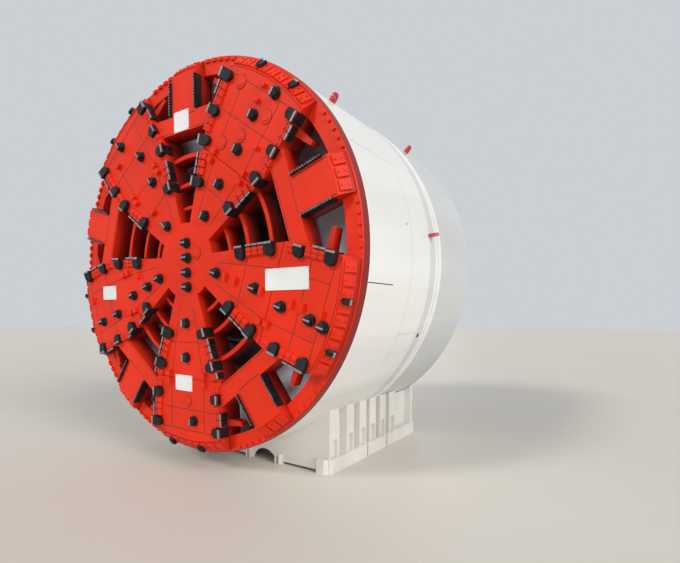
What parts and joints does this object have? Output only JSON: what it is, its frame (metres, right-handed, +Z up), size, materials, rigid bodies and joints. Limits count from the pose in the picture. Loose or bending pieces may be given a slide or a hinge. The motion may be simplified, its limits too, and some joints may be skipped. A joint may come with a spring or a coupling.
{
  "type": "tunnel boring machine",
  "caption": "Large shield tunnel boring machine: a turning spoked cutting wheel with tools, a white shield with thrust cylinders and erector, on its cradle.",
  "frame": {"origin": "on the floor under the middle of the whole machine's length and width, cradle included", "axes": "+Z up, +Y towards the tail along the machine's axis, the cutting wheel faces -Y, +X to the right seen from the front"},
  "size_m": [12.0514, 8.74, 12.2199],
  "materials": {
    "red": "semi-gloss orange-red paint",
    "tool": "dark hard-faced steel",
    "white": "semi-gloss ivory paint",
    "sign": "blank white sheet",
    "grey": "light grey paint",
    "drive": "blue-grey paint",
    "steel": "machined steel",
    "dark": "dark steel",
    "lug": "red paint",
    "yellow": "yellow paint",
    "green": "green paint",
    "rod": "polished rod"
  },
  "bodies": {
    "shield": {"front_shield": "white", "submerged_wall": "white", "pressure_bulkhead": "white", "bulkhead_ribs": "white", "drive_housing": "drive", "drive_motors": "drive", "centre_shield": "white", "shield_band": "white", "tail_shield": "white", "tail_brushes": "steel", "lifting_lugs": "lug", "cylinder_ring": "grey", "thrust_barrels": "drive", "man_lock": "white", "slurry_pipes": "green", "work_decks": "grey", "deck_rails": "yellow", "erector_beams": "yellow", "cradle_front": "white", "cradle_middle": "white", "cradle_rear": "white"},
    "wheel": {"wheel_centre": "red", "wheel_segments": "red", "wheel_tee_arms": "red", "wheel_rim": "red", "wheel_ring_beams": "red", "wheel_rippers": "tool", "wheel_scrapers": "tool", "wheel_tool_pads": "red", "wheel_bosses": "red", "wheel_gauge_blocks": "red", "wheel_paddles": "red", "tee_wear_plates": "tool", "wheel_sign_plates": "sign", "wheel_legs": "red", "drive_rotor": "dark"},
    "thrust_top": {"thrust_rods_top": "rod"},
    "thrust_right": {"thrust_rods_right": "rod"},
    "thrust_bottom": {"thrust_rods_bottom": "rod"},
    "thrust_left": {"thrust_rods_left": "rod"},
    "lock_door": {"man_lock_door": "yellow"},
    "sled": {"erector_sled": "yellow"},
    "rotor": {"erector_rotor": "yellow"},
    "arms": {"erector_arms": "yellow"}
  },
  "joints": [
    {"name": "wheel_spin", "type": "hinge", "parent": "shield", "child": "wheel", "pos_m": [0, 0, 6.4], "axis": [0, 1, 0], "continuous": true},
    {"name": "thrust_top_slide", "type": "slide", "parent": "shield", "child": "thrust_top", "axis": [0, 1, 0], "range_m": [0, 2]},
    {"name": "thrust_right_slide", "type": "slide", "parent": "shield", "child": "thrust_right", "axis": [0, 1, 0], "range_m": [0, 2]},
    {"name": "thrust_bottom_slide", "type": "slide", "parent": "shield", "child": "thrust_bottom", "axis": [0, 1, 0], "range_m": [0, 2]},
    {"name": "thrust_left_slide", "type": "slide", "parent": "shield", "child": "thrust_left", "axis": [0, 1, 0], "range_m": [0, 2]},
    {"name": "lock_door_hinge", "type": "hinge", "parent": "shield", "child": "lock_door", "pos_m": [2.14235, 0.8603, 9.65808], "axis": [0, 0, -1], "range_deg": [0, 100]},
    {"name": "erector_travel", "type": "slide", "parent": "shield", "child": "sled", "axis": [0, 1, 0], "range_m": [0, 1]},
    {"name": "erector_turn", "type": "hinge", "parent": "sled", "child": "rotor", "pos_m": [0, 0, 6.4], "axis": [0, 1, 0], "range_deg": [-200, 200]},
    {"name": "erector_extend", "type": "slide", "parent": "rotor", "child": "arms", "axis": [0, 0, -1], "range_m": [0, 1.1]}
  ]
}
